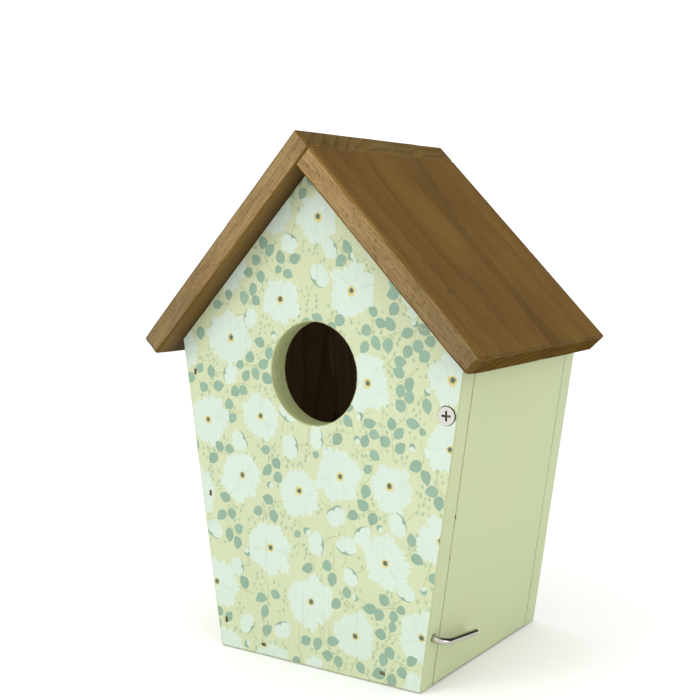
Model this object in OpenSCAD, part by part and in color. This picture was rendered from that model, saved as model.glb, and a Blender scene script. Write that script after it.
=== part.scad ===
// Gable-roofed wooden nest box with a pivoting clean-out side. All sizes are in millimetres.
// Origin: the centre of the footprint, at the bottom. +Z is up and the entrance faces -Y.
// The walls lean outwards towards the eaves, and the right-hand side is the door.

/* [Body] */
// Width of the body across its bottom edge
base_w = 91; // [75:0.5:110]
// Width of the body at the eaves line, where the roof starts
eaves_w = 126; // [112:0.5:152]
// Height of the eaves line above the bottom
eaves_h = 121; // [100:0.5:146]
// Depth from the front face to the back face
body_d = 94; // [78:0.5:120]
// Thickness of the front, the back, the fixed side and the door
wall_t = 8.5; // [7:0.1:11]
// Thickness of the floor
floor_t = 8.5; // [7:0.1:11]

/* [Roof] */
// Slope of the roof boards, in degrees
roof_pitch = 46; // [38:0.5:50]
// Thickness of the roof boards
roof_t = 8.5; // [7:0.1:11]
// How far the roof reaches in front of the front face
front_overhang = 10; // [4:0.5:25]
// How far each roof board runs past the eaves line, along the slope
eaves_overhang = 7.9; // [4:0.1:20]

/* [Openings] */
// Diameter of the entrance hole
entrance_d = 38.1; // [28:0.1:46]
// Distance from the eaves line down to the centre of the entrance hole
entrance_drop = 10; // [0:0.5:30]
// Diameter of the hanging hole in the back, which a driver reaches through the entrance
hanging_d = 5; // [3:0.1:8]
// Diameter of each drain hole in the floor
drain_d = 6; // [3:0.1:8]
// Distance between the two columns of drain holes, across the floor
drain_across = 26; // [16:0.5:34]
// Distance between the two rows of drain holes, front to back
drain_along = 40; // [30:0.5:44]

/* [Door] */
// Distance from the eaves line down to the axis of the two pivot screws
pivot_drop = 21; // [16:0.5:30]
// Gap between the door's edges and the front and back panels
door_edge_gap = 0.4; // [0.2:0.05:1.5]
// Gap between the door's top corner and the roof
door_top_gap = 0.8; // [0.3:0.05:3]
// Gap between the door and the floor's edge, and below the door
door_floor_gap = 0.4; // [0.2:0.05:1.5]

/* [Pivot screws] */
// Length of a pivot screw, head included
screw_l = 25; // [18:0.5:32]
// Diameter of the plain shank and of the thread's crests
screw_d = 3.5; // [2.6:0.1:4.2]
// Diameter at the bottom of the thread
screw_root_d = 2.5; // [1.6:0.1:2.5]
// Distance between two turns of the thread
screw_pitch = 1.4; // [1:0.1:2]
// Diameter of the countersunk head
screw_head_d = 6.5; // [5.6:0.1:7.4]
// Height of the head's cone
screw_head_h = 1.6; // [1.2:0.1:2.4]
// Height of the head's straight rim
screw_rim_h = 0.3; // [0.2:0.05:0.5]
// How far the front screw's head stands out of the front face
front_screw_proud = 0.3; // [0:0.05:1]
// Width of each arm of the cross recess
recess_w = 0.8; // [0.5:0.05:1.1]
// Length of the cross recess from tip to tip
recess_l = 3.6; // [2.6:0.1:4]
// Depth of the cross recess
recess_h = 1.2; // [0.6:0.1:1.6]
// Radial running clearance between a turning screw or hook and its hole
running_gap = 0.05; // [0.02:0.01:0.09]
// Clearance between the thread's crests and their hole, and between a head and its seat
thread_gap = 0.02; // [0.01:0.01:0.04]

/* [Latch hook] */
// Thickness of the hook's wire
wire_d = 2.5; // [1.4:0.1:3.2]
// Height of the hook's axis above the bottom, on the edge of the front panel
latch_z = 19.6; // [12:0.1:40]
// Distance from the wall's face to the centre of the hook's arm
latch_stand_off = 5; // [4.5:0.1:9]
// Radius of the hook's bend, to the centre of the wire
latch_bend_r = 4; // [3:0.1:4.4]
// Reach of the arm from the hook's axis to its tip
latch_reach = 24; // [14:0.5:40]
// How far the arm droops towards its tip, in degrees
latch_droop = 7.5; // [0:0.5:15]
// Length of the shank inside the front panel
latch_shank_l = 14; // [8:0.5:20]
// Diameter at the bottom of the shank's rings
latch_root_d = 1.4; // [0.8:0.1:1.4]
// Distance between two rings of the shank
latch_pitch = 1; // [0.7:0.1:1.4]
// Length of plain shank before the rings
latch_plain_l = 3; // [2:0.1:4]
// Width of the bevel round the arm's tip
latch_bevel = 0.25; // [0.1:0.05:0.5]

/* [Brads] */
// Length of a brad
brad_l = 25; // [16:0.5:28]
// Width of a brad's shank
brad_w = 1.25; // [0.8:0.05:1.6]
// Thickness of a brad
brad_t = 1; // [0.6:0.05:1.2]
// Width of a brad's head
brad_head_w = 2; // [1.8:0.05:2.8]
// Height of a brad's head
brad_head_h = 0.9; // [0.5:0.05:1.2]
// Length of a brad's pointed end
brad_point = 1.5; // [0.8:0.1:3]
// Depth of each head below the surface
brad_sink = 0.5; // [0.2:0.05:1]
// Height of the lowest brad into the fixed side
side_brad_low = 10.8; // [9:0.1:20]
// Height of the middle brad into the fixed side
side_brad_middle = 60.7; // [40:0.1:75]
// Distance from the eaves line down to the highest brad into the fixed side
side_brad_drop = 12.7; // [9:0.1:20]
// Distance from the floor's left end to the nearer brad into its edge
floor_brad_left = 13.2; // [6:0.1:16]
// Distance from the floor's right end to the nearer brad into its edge
floor_brad_right = 7.7; // [6:0.1:16]
// Distance between the two brads through the fixed side into the floor
side_floor_brads = 26; // [18:0.5:28]
// Distance from the ridge to the upper brad of each roof row, along the slope
roof_brad_high = 27.2; // [24:0.1:36]
// Distance from the eaves line up to the lower brad of each roof row, along the slope
roof_brad_low = 21.5; // [12:0.1:30]
// Distance from each end of the ridge to the first ridge brad
ridge_brad_end = 14; // [8:0.5:24]

/* [Hidden] */

paint = [0.78, 0.83, 0.64];
print_ground = [0.84, 0.89, 0.72];
stain = [0.44, 0.33, 0.20];
bare_wood = [0.72, 0.58, 0.40];
nickel = [0.82, 0.81, 0.78];
steel = [0.55, 0.55, 0.55];

fine = 64; // segments of each round shape
small = 0.01; // overlap that lets a cut run out through a face

// Places along Y: the roof's ends are the ends of the footprint.
depth = body_d + front_overhang;
front_y = -depth / 2 + front_overhang;
back_y = depth / 2;
front_in = front_y + wall_t;
back_in = back_y - wall_t;
middle_in = (front_in + back_in) / 2;

// Lean of the sides, and the thickness of a leaning board measured level.
slope = (eaves_w - base_w) / 2 / eaves_h;
lean = atan(slope);
level_t = wall_t / cos(lean);

// Roof: where the undersides meet, where the boards' upper faces meet, and the butt joint.
apex_z = eaves_h + eaves_w / 2 * tan(roof_pitch);
ridge_z = apex_z + roof_t / cos(roof_pitch);
joint_l = roof_t / sin(2 * roof_pitch);
eaves_l = eaves_w / 2 / cos(roof_pitch);
slope_l = eaves_l + eaves_overhang;

entrance_z = eaves_h - entrance_drop;

// Door: its pivot lies in the middle of the board's thickness. The lengths run along the board.
pivot_z = eaves_h - pivot_drop;
pivot_x = face_x(pivot_z) - level_t / 2;
roof_distance = (eaves_w / 2 - pivot_x) * sin(roof_pitch) + pivot_drop * cos(roof_pitch);
door_up = (roof_distance - door_top_gap - wall_t / 2 * sin(roof_pitch - lean)) / cos(roof_pitch - lean);
door_down = (pivot_z - door_floor_gap - wall_t / 2 * sin(lean)) / cos(lean);

thread_turns = floor((screw_l - wall_t - 3 * screw_pitch) / screw_pitch);
latch_turns = floor((latch_shank_l - latch_plain_l) / latch_pitch) - 2;

side_brad_heights = [side_brad_low, side_brad_middle, eaves_h - side_brad_drop];
floor_end = base_w / 2 + slope * floor_t / 2 - level_t;
roof_brad_places = [roof_brad_high, eaves_l - roof_brad_low];
panel_middles = [front_y + wall_t / 2, back_y - wall_t / 2];

// Outer face of a side at a height, measured from the middle.
function face_x(z) = base_w / 2 + slope * z;

// Turns of a thread as points of its outline, each turn a root and a crest.
function turns(start, count, pitch, root_r, crest_r) =
    [for (i = [0:count - 1]) for (p = [[root_r, 0], [crest_r, 0.5]]) [p[0], start + (i + p[1]) * pitch]];

// A flat shape drawn as X and Z, made solid from one Y to another.
module upright(from_y, to_y) {
    translate([0, to_y, 0]) rotate([90, 0, 0]) linear_extrude(to_y - from_y) children();
}

module gable_outline() {
    polygon([[-base_w / 2, 0], [base_w / 2, 0], [eaves_w / 2, eaves_h], [0, apex_z],
             [-eaves_w / 2, eaves_h]]);
}

// Where each row of brads is driven. A child's +Z points out of the wood at the brad's head.
module at_front_side() {
    for (z = side_brad_heights)
        translate([level_t / 2 - face_x(z), front_y, z]) rotate([90, 0, 0]) rotate(90) children();
}

module at_back_side() {
    for (z = side_brad_heights)
        translate([level_t / 2 - face_x(z), back_y, z]) rotate([-90, 0, 0]) rotate(90) children();
}

module at_front_floor() {
    for (x = [floor_brad_left - floor_end, floor_end - floor_brad_right])
        translate([x, front_y, floor_t / 2]) rotate([90, 0, 0]) children();
}

module at_back_floor() {
    for (x = [floor_brad_left - floor_end, floor_end - floor_brad_right])
        translate([x, back_y, floor_t / 2]) rotate([-90, 0, 0]) children();
}

module at_side_floor() {
    for (side = [-1, 1])
        translate([-face_x(floor_t / 2), middle_in + side * side_floor_brads / 2, floor_t / 2])
            rotate([0, -90, 0]) rotate(90) children();
}

// side is -1 for the left roof board and 1 for the right one.
module at_roof(side, y) {
    for (s = roof_brad_places)
        translate([side * s * cos(roof_pitch), y, apex_z - s * sin(roof_pitch)])
            rotate([0, side * roof_pitch, 0]) translate([0, 0, roof_t]) children();
}

// Ridge brads run down the middle of the right board's thickness.
module at_ridge() {
    for (y = [-depth / 2 + ridge_brad_end, 0, depth / 2 - ridge_brad_end])
        translate([-joint_l / 2 * cos(roof_pitch), y, apex_z + 1.5 * joint_l * sin(roof_pitch)])
            rotate([0, roof_pitch - 90, 0]) rotate(90) children();
}

// One brad, its head brad_sink below Z 0. With open_l above 0 it is the hole that the brad fits.
module brad(open_l = 0) {
    top = open_l - brad_sink;
    neck = -brad_sink - brad_head_h;
    rotate([90, 0, 0]) linear_extrude(brad_t, center = true)
        polygon([[-brad_head_w / 2, top], [-brad_head_w / 2, neck], [-brad_w / 2, neck],
                 [-brad_w / 2, brad_point - brad_l], [0, -brad_l], [brad_w / 2, brad_point - brad_l],
                 [brad_w / 2, neck], [brad_head_w / 2, neck], [brad_head_w / 2, top]]);
}

module brad_hole() {
    brad(2 * brad_sink);
}

// A countersunk cross-recessed screw along -Z, the top of its head at Z 0.
module screw() {
    head_end = screw_rim_h + screw_head_h;
    thread_start = wall_t + screw_pitch;
    thread_end = thread_start + thread_turns * screw_pitch;
    mirror([0, 0, 1]) difference() {
        rotate_extrude($fn = fine)
            polygon(concat([[0, 0], [screw_head_d / 2, 0], [screw_head_d / 2, screw_rim_h],
                            [screw_d / 2, head_end], [screw_d / 2, thread_start - screw_pitch / 2]],
                           turns(thread_start, thread_turns, screw_pitch, screw_root_d / 2,
                                 screw_d / 2),
                           [[screw_root_d / 2, thread_end], [0, screw_l]]));
        for (turn = [0, 90])
            rotate(turn)
                translate([-recess_l / 2, -recess_w / 2, -small]) cube([recess_l, recess_w, recess_h]);
    }
}

// The hole of a pivot screw: its head's seat, the panel's bore and the thread's hole in the door.
module screw_hole(proud) {
    seat_r = screw_head_d / 2 + running_gap;
    seat_end = screw_rim_h + screw_head_h + thread_gap;
    translate([0, 0, proud]) mirror([0, 0, 1]) {
        translate([0, 0, -1]) cylinder(h = 1 + screw_rim_h + thread_gap, r = seat_r, $fn = fine);
        translate([0, 0, screw_rim_h + thread_gap])
            cylinder(h = screw_head_h, r1 = seat_r, r2 = screw_d / 2 + running_gap, $fn = fine);
        translate([0, 0, seat_end - small])
            cylinder(h = proud + wall_t + small - seat_end + 1, r = screw_d / 2 + running_gap,
                     $fn = fine);
    }
}

module at_pivot_front() {
    translate([pivot_x, front_y, pivot_z]) rotate([90, 0, 0]) children();
}

module at_pivot_back() {
    translate([pivot_x, back_y, pivot_z]) rotate([-90, 0, 0]) children();
}

// The latch hook's axis leaves the front panel's edge at a right angle to the leaning side.
module at_latch() {
    translate([face_x(latch_z), front_y + wall_t / 2, latch_z]) rotate([0, 90 + lean, 0]) children();
}

module front_panel() {
    color(print_ground) difference() {
        upright(front_y, front_in) gable_outline();
        translate([0, front_in + 1, entrance_z]) rotate([90, 0, 0])
            cylinder(h = wall_t + 2, d = entrance_d, $fn = 2 * fine);
        at_pivot_front() screw_hole(front_screw_proud);
        at_latch() translate([0, 0, -latch_shank_l - 1])
            cylinder(h = latch_shank_l + 2, r = wire_d / 2 + running_gap, $fn = fine);
        at_front_side() brad_hole();
        at_front_floor() brad_hole();
        at_roof(-1, panel_middles[0]) brad_hole();
        at_roof(1, panel_middles[0]) brad_hole();
    }
}

module back_panel() {
    color(paint) difference() {
        upright(back_in, back_y) gable_outline();
        translate([0, back_y + 1, entrance_z]) rotate([90, 0, 0])
            cylinder(h = wall_t + 2, d = hanging_d, $fn = fine);
        at_pivot_back() screw_hole(0);
        at_back_side() brad_hole();
        at_back_floor() brad_hole();
        at_roof(-1, panel_middles[1]) brad_hole();
        at_roof(1, panel_middles[1]) brad_hole();
    }
}

module left_side() {
    inner_top = (apex_z - (base_w / 2 - level_t) * tan(roof_pitch)) / (1 + slope * tan(roof_pitch));
    color(paint) difference() {
        upright(front_in, back_in)
            polygon([[-face_x(0), 0], [level_t - face_x(0), 0],
                     [level_t - face_x(inner_top), inner_top], [-eaves_w / 2, eaves_h]]);
        at_front_side() brad_hole();
        at_back_side() brad_hole();
        at_side_floor() brad_hole();
    }
}

module side_door() {
    edge = front_in + door_edge_gap;
    hole_l = screw_l - wall_t - door_edge_gap + 1;
    color(paint) translate([pivot_x, 0, pivot_z]) rotate([0, lean, 0]) difference() {
        translate([-wall_t / 2, edge, -door_down])
            cube([wall_t, back_in - front_in - 2 * door_edge_gap, door_down + door_up]);
        translate([0, edge + hole_l, 0]) rotate([90, 0, 0])
            cylinder(h = hole_l + 1, r = screw_d / 2 + thread_gap, $fn = fine);
        translate([0, back_in - door_edge_gap - hole_l, 0]) rotate([-90, 0, 0])
            cylinder(h = hole_l + 1, r = screw_d / 2 + thread_gap, $fn = fine);
    }
}

module floor_board() {
    right_end = base_w / 2 - level_t - door_floor_gap / cos(lean);
    color(bare_wood) difference() {
        upright(front_in, back_in)
            polygon([[level_t - face_x(0), 0], [right_end, 0], [right_end + slope * floor_t, floor_t],
                     [level_t - face_x(floor_t), floor_t]]);
        for (x = [-1, 1]) for (y = [-1, 1])
            translate([x * drain_across / 2, middle_in + y * drain_along / 2, -1])
                cylinder(h = floor_t + 2, d = drain_d, $fn = fine);
        at_front_floor() brad_hole();
        at_back_floor() brad_hole();
        at_side_floor() brad_hole();
    }
}

// The left board runs past the ridge and covers the upper end of the right one.
module roof_left() {
    color(stain) difference() {
        upright(-depth / 2, depth / 2)
            polygon([[-slope_l * cos(roof_pitch), apex_z - slope_l * sin(roof_pitch)],
                     [joint_l * cos(roof_pitch), apex_z + joint_l * sin(roof_pitch)],
                     [0, ridge_z],
                     [-slope_l * cos(roof_pitch) - roof_t * sin(roof_pitch),
                      apex_z - slope_l * sin(roof_pitch) + roof_t * cos(roof_pitch)]]);
        for (y = panel_middles) at_roof(-1, y) brad_hole();
        at_ridge() brad_hole();
    }
}

module roof_right() {
    color(stain) difference() {
        upright(-depth / 2, depth / 2)
            polygon([[0, apex_z],
                     [slope_l * cos(roof_pitch), apex_z - slope_l * sin(roof_pitch)],
                     [slope_l * cos(roof_pitch) + roof_t * sin(roof_pitch),
                      apex_z - slope_l * sin(roof_pitch) + roof_t * cos(roof_pitch)],
                     [joint_l * cos(roof_pitch), apex_z + joint_l * sin(roof_pitch)]]);
        for (y = panel_middles) at_roof(1, y) brad_hole();
        at_ridge() brad_hole();
    }
}

module pivot_screw_front() {
    color(nickel) at_pivot_front() translate([0, 0, front_screw_proud]) screw();
}

module pivot_screw_back() {
    color(nickel) at_pivot_back() screw();
}

// A wire bent square: a ringed shank in the panel's edge, a bend, and an arm across the door.
module latch_hook() {
    wire_r = wire_d / 2;
    root_r = latch_root_d / 2;
    stub_l = latch_stand_off - latch_bend_r;
    arm_l = latch_reach - latch_bend_r;
    ring_end = latch_plain_l + latch_turns * latch_pitch;
    color(nickel) at_latch() rotate(-latch_droop) {
        mirror([0, 0, 1]) rotate_extrude($fn = fine)
            polygon(concat([[0, -stub_l], [wire_r, -stub_l], [wire_r, latch_plain_l - latch_pitch / 2]],
                           turns(latch_plain_l, latch_turns, latch_pitch, root_r, wire_r),
                           [[root_r, ring_end], [0, latch_shank_l]]));
        translate([0, latch_bend_r, stub_l]) rotate([180, -90, 0])
            rotate_extrude(angle = 90, $fn = fine)
                translate([latch_bend_r, 0]) circle(r = wire_r, $fn = fine / 2);
        translate([0, latch_bend_r, latch_stand_off]) rotate([-90, 0, 0]) rotate_extrude($fn = fine)
            polygon([[0, 0], [wire_r, 0], [wire_r, arm_l - latch_bevel], [wire_r - latch_bevel, arm_l],
                     [0, arm_l]]);
    }
}

module brads_front_side() { color(steel) at_front_side() brad(); }
module brads_front_floor() { color(steel) at_front_floor() brad(); }
module brads_back_side() { color(steel) at_back_side() brad(); }
module brads_back_floor() { color(steel) at_back_floor() brad(); }
module brads_side_floor() { color(steel) at_side_floor() brad(); }
module brads_roof_left_front() { color(steel) at_roof(-1, panel_middles[0]) brad(); }
module brads_roof_left_back() { color(steel) at_roof(-1, panel_middles[1]) brad(); }
module brads_roof_right_front() { color(steel) at_roof(1, panel_middles[0]) brad(); }
module brads_roof_right_back() { color(steel) at_roof(1, panel_middles[1]) brad(); }
module brads_ridge() { color(steel) at_ridge() brad(); }

front_panel();
back_panel();
left_side();
side_door();
floor_board();
roof_left();
roof_right();
pivot_screw_front();
pivot_screw_back();
latch_hook();
brads_front_side();
brads_front_floor();
brads_back_side();
brads_back_floor();
brads_side_floor();
brads_roof_left_front();
brads_roof_left_back();
brads_roof_right_front();
brads_roof_right_back();
brads_ridge();
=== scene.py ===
"""Looks of the nest box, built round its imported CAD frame.

Lengths are in millimetres until a mesh is made.
"""
import math
import random

import bmesh
import bpy
from mathutils import Matrix, Vector, noise
from mathutils.geometry import delaunay_2d_cdt


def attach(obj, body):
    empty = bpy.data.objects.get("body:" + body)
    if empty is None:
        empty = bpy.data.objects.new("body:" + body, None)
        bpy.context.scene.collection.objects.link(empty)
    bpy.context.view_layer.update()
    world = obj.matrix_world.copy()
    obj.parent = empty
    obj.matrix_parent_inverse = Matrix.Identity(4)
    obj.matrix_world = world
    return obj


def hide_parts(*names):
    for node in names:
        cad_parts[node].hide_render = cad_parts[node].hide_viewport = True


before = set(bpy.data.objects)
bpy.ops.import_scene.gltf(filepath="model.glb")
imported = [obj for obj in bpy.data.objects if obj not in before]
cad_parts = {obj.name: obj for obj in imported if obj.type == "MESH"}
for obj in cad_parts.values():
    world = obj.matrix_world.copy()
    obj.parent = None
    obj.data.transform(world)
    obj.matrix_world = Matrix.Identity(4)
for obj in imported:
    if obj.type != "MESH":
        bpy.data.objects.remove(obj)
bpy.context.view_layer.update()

# Sizes of the frame.
BASE_W, EAVES_W, EAVES_H, DEPTH, OVERHANG = 91.0, 126.0, 121.0, 104.0, 10.0
WALL, FLOOR_T, ROOF_T, PITCH, EAVES_OVER = 8.5, 8.5, 8.5, math.radians(46), 7.9
ENTRANCE_R, ENTRANCE_Z = 19.05, 111.0
PIVOT_Z, EDGE_GAP, TOP_GAP, FLOOR_GAP = 100.0, 0.4, 0.8, 0.4
LATCH_Z, WIRE_R = 19.6, 1.25
BRAD_W, BRAD_T, BRAD_DEPTH = 2.0, 1.0, 1.42
HANGING_R, DRAIN_R, DRAIN_X, DRAIN_Y = 2.5, 3.0, 13.0, 20.0

SLOPE = (EAVES_W - BASE_W) / 2 / EAVES_H
LEAN = math.atan(SLOPE)
LEVEL_T = WALL / math.cos(LEAN)
FRONT = -DEPTH / 2 + OVERHANG
BACK = DEPTH / 2
FRONT_IN, BACK_IN = FRONT + WALL, BACK - WALL
MIDDLE_IN = (FRONT_IN + BACK_IN) / 2
MIDDLE = (FRONT + BACK) / 2
COS_P, SIN_P, TAN_P = math.cos(PITCH), math.sin(PITCH), math.tan(PITCH)
APEX_Z = EAVES_H + EAVES_W / 2 * TAN_P
RIDGE_Z = APEX_Z + ROOF_T / COS_P
JOINT_L = ROOF_T / math.sin(2 * PITCH)
EAVES_L = EAVES_W / 2 / COS_P
SLOPE_L = EAVES_L + EAVES_OVER


def face_x(z):
    return BASE_W / 2 + SLOPE * z


PIVOT_X = face_x(PIVOT_Z) - LEVEL_T / 2


def linear(r, g, b, a=1.0):
    """A colour given as 8-bit display values, as linear light."""
    found = [c / 255 / 12.92 if c <= 10.3 else ((c / 255 + 0.055) / 1.055) ** 2.4 for c in (r, g, b)]
    return (*found, a)


def wobble(p, scale, seed):
    return noise.noise(Vector(p) * scale + Vector((seed * 13.7, seed * 5.3, seed * 9.1)))


# ---------------------------------------------------------------- materials

class Shader:
    """Builds one material's nodes."""

    def __init__(self, name):
        self.mat = bpy.data.materials.new(name)
        self.mat.use_nodes = True
        self.tree = self.mat.node_tree
        self.tree.nodes.clear()
        self.out = self.tree.nodes.new("ShaderNodeOutputMaterial")
        self.bsdf = self.tree.nodes.new("ShaderNodeBsdfPrincipled")
        self.tree.links.new(self.bsdf.outputs["BSDF"], self.out.inputs["Surface"])

    def put(self, socket, value):
        if isinstance(value, bpy.types.NodeSocket):
            self.tree.links.new(value, socket)
        elif value is not None:
            socket.default_value = value

    def set(self, **values):
        for name, value in values.items():
            self.put(self.bsdf.inputs[name.replace("_", " ")], value)
        return self.mat

    def node(self, kind, *inputs, **props):
        n = self.tree.nodes.new(kind)
        for k, v in props.items():
            setattr(n, k, v)
        for i, v in enumerate(inputs):
            self.put(n.inputs[i], v)
        return n

    def math(self, op, a, b=None, c=None, clamp=False):
        return self.node("ShaderNodeMath", a, b, c, operation=op, use_clamp=clamp).outputs[0]

    def vec(self, op, a, b=None):
        return self.node("ShaderNodeVectorMath", a, b, operation=op).outputs["Vector"]

    def coords(self, turn=(0, 0, 0)):
        """Object coordinates in millimetres, turned so that X runs along the grain."""
        n = self.node("ShaderNodeMapping", self.node("ShaderNodeTexCoord").outputs["Object"])
        n.vector_type = "POINT"
        n.inputs["Rotation"].default_value = turn
        n.inputs["Scale"].default_value = (1000, 1000, 1000)
        return n.outputs[0]

    def noise(self, vector, scale, stretch=(1, 1, 1), detail=2.0, rough=0.5, shift=0.0, colour=False):
        v = self.vec("MULTIPLY", vector, stretch)
        if shift:
            v = self.vec("ADD", v, (shift, shift * 0.7, shift * 1.3))
        n = self.node("ShaderNodeTexNoise")
        self.put(n.inputs["Vector"], v)
        n.inputs["Scale"].default_value = scale
        n.inputs["Detail"].default_value = detail
        n.inputs["Roughness"].default_value = rough
        return n.outputs["Color" if colour else "Fac"]

    def remap(self, value, a, b, c=0.0, d=1.0):
        n = self.node("ShaderNodeMapRange", value, a, b, c, d)
        n.clamp = True
        return n.outputs[0]

    def mix(self, fac, a, b):
        n = self.tree.nodes.new("ShaderNodeMix")
        n.data_type = "RGBA"
        self.put(n.inputs[0], fac)
        self.put(n.inputs[6], a)
        self.put(n.inputs[7], b)
        return n.outputs[2]

    def gain(self, colour, factor):
        """A colour multiplied by a grey factor."""
        n = self.node("ShaderNodeCombineXYZ", factor, factor, factor)
        return self.vec("MULTIPLY", colour, n.outputs[0])

    def bump(self, height, strength, distance_mm):
        n = self.tree.nodes.new("ShaderNodeBump")
        n.inputs["Strength"].default_value = strength
        n.inputs["Distance"].default_value = distance_mm / 1000
        self.put(n.inputs["Height"], height)
        return n.outputs[0]

    def wood(self, turn, shift, pith=(60.0, -35.0), spacing=4.2, grain=1.0):
        """Late-wood lines, fibres, pores and blotches of a board whose grain runs along X once turned."""
        p = self.coords(turn)
        drift = self.noise(p, 0.02, (0.25, 1, 1), 2, 0.5, shift, colour=True)
        p2 = self.vec("ADD", p, self.vec("MULTIPLY", drift, (0, 22, 22)))
        sep = self.node("ShaderNodeSeparateXYZ", p2)
        y = self.math("SUBTRACT", sep.outputs[1], pith[0])
        z = self.math("SUBTRACT", sep.outputs[2], pith[1])
        r = self.math("SQRT", self.math("ADD", self.math("MULTIPLY", y, y), self.math("MULTIPLY", z, z)))
        fine = self.noise(p, 0.9, (0.06, 1, 1), 2, 0.5, shift + 3)
        r = self.math("ADD", r, self.math("MULTIPLY", fine, 1.2))
        late = self.math("POWER", self.math("FRACT", self.math("DIVIDE", r, spacing)), 3.0)
        fibre = self.noise(p, 2.2 * grain, (0.02 * grain, 1, 1), 3, 0.6, shift + 5)
        pores = self.noise(p, 3.2 * grain, (0.07 * grain, 1, 1), 2, 0.5, shift + 9)
        pores = self.remap(pores, 0.58, 0.70)
        blotch = self.noise(p, 0.035, (0.5, 1, 1), 3, 0.55, shift + 7)
        return {"p": p, "late": late, "fibre": fibre, "pores": pores, "blotch": blotch}


def wood_material(name, light, dark, turn, shift, rough=(0.55, 0.75), late=0.35, fibre=0.75, pores=0.35,
                  blotch=0.7, relief=0.5, pith=(60.0, -35.0), spacing=4.2, grain=1.0, gloss=0.3,
                  fall=None, corner=None):
    """Open wood. fall and corner remap the brightness along the slope and along Y: from, to, gain, gain.
    corner serves as painted shade.
    """
    s = Shader(name)
    w = s.wood(turn, shift, pith, spacing, grain)
    f = s.math("MULTIPLY", w["late"], late)
    f = s.math("MULTIPLY_ADD", s.math("SUBTRACT", w["fibre"], 0.5), fibre * 2, f)
    f = s.math("MULTIPLY_ADD", s.math("SUBTRACT", w["blotch"], 0.5), blotch * 2, f)
    f = s.math("MULTIPLY_ADD", w["pores"], pores, f)
    colour = s.mix(s.math("ADD", f, 0.35, clamp=True), light, dark)
    if fall is not None:
        along = s.math("ABSOLUTE", s.node("ShaderNodeSeparateXYZ", w["p"]).outputs[0])
        colour = s.gain(colour, s.remap(along, *fall))
    if corner is not None:
        colour = s.gain(colour, s.remap(s.node("ShaderNodeSeparateXYZ", w["p"]).outputs[1], *corner))
    height = s.math("ADD", s.math("MULTIPLY", w["fibre"], 0.5), s.math("MULTIPLY", w["pores"], -0.8))
    height = s.math("ADD", height, s.math("MULTIPLY", w["late"], 0.25))
    return s.set(Base_Color=colour, Roughness=s.remap(w["fibre"], 0.3, 0.7, *rough),
                 Normal=s.bump(height, relief, 0.12), Specular_IOR_Level=gloss)


UPRIGHT = (0, math.radians(90), 0)


def paint_material(name, base, deep, shift, rough=0.5, streak=0.022, worn=0.0, fuzzy=0.0, relief=0.25):
    """Thin matt paint over upright softwood: the grain still shows as faint streaks."""
    s = Shader(name)
    w = s.wood(UPRIGHT, shift)
    p = w["p"]
    cloud = s.noise(p, 0.02, (0.5, 1, 1), 3, 0.5, shift + 2)
    f = s.math("MULTIPLY_ADD", s.math("SUBTRACT", w["fibre"], 0.5), streak * 2, 1.0)
    f = s.math("MULTIPLY_ADD", s.math("SUBTRACT", cloud, 0.5), 0.09, f)
    f = s.math("MULTIPLY_ADD", w["pores"], -streak * 0.9, f)
    f = s.math("MULTIPLY_ADD", w["late"], -streak * 0.5, f)
    broad = s.noise(p, 0.012, (1, 1, 1), 2, 0.5, shift + 11)
    colour = s.mix(s.remap(broad, 0.35, 0.65), base, deep)
    if fuzzy:
        fuzz = s.noise(p, 1.5, (0.25, 1, 1), 4, 0.7, shift + 15)
        f = s.math("MULTIPLY_ADD", s.math("SUBTRACT", fuzz, 0.5), fuzzy * 2, f)
    colour = s.gain(colour, f)
    if worn:
        nick = s.noise(p, 0.7, (0.6, 1, 1), 3, 0.65, shift + 17)
        nick = s.remap(nick, 0.66 - worn * 0.1, 0.72 - worn * 0.1)
        colour = s.mix(nick, colour, linear(150, 132, 84))
    height = s.math("ADD", s.math("MULTIPLY", w["fibre"], 0.6), s.math("MULTIPLY", w["pores"], -0.5))
    return s.set(Base_Color=colour, Roughness=s.remap(w["fibre"], 0.3, 0.7, rough, rough + 0.15),
                 Normal=s.bump(height, relief, 0.08), Specular_IOR_Level=0.35)


def print_material():
    """The printed front: its inks are in the mesh's colours, and the grain shows through them."""
    s = Shader("printed_paint")
    w = s.wood(UPRIGHT, 31.0)
    p = w["p"]
    ink = s.node("ShaderNodeAttribute", attribute_name="ink", attribute_type="GEOMETRY").outputs["Color"]
    cloud = s.noise(p, 0.02, (0.4, 1, 1), 3, 0.5, 33.0)
    f = s.math("MULTIPLY_ADD", s.math("SUBTRACT", w["fibre"], 0.5), 0.13, 1.0)
    f = s.math("MULTIPLY_ADD", s.math("SUBTRACT", cloud, 0.5), 0.08, f)
    f = s.math("MULTIPLY_ADD", w["pores"], -0.06, f)
    seam = s.noise(p, 0.30, (0.012, 1, 1), 1, 0.5, 41.0)
    seam = s.math("SUBTRACT", 1.0, s.remap(s.math("ABSOLUTE", s.math("SUBTRACT", seam, 0.5)), 0.0, 0.012))
    broken = s.remap(s.noise(p, 0.06, (1, 1, 1), 2, 0.5, 47.0), 0.48, 0.60)
    seam = s.math("MULTIPLY", seam, broken)
    f = s.math("MULTIPLY_ADD", seam, -0.13, f)
    colour = s.gain(ink, f)
    height = s.math("ADD", s.math("MULTIPLY", w["fibre"], 0.7), s.math("MULTIPLY", w["pores"], -0.5))
    height = s.math("ADD", height, s.math("MULTIPLY", seam, -0.8))
    return s.set(Base_Color=colour, Roughness=s.remap(w["fibre"], 0.3, 0.7, 0.48, 0.62),
                 Normal=s.bump(height, 0.3, 0.08), Specular_IOR_Level=0.3)


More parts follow.
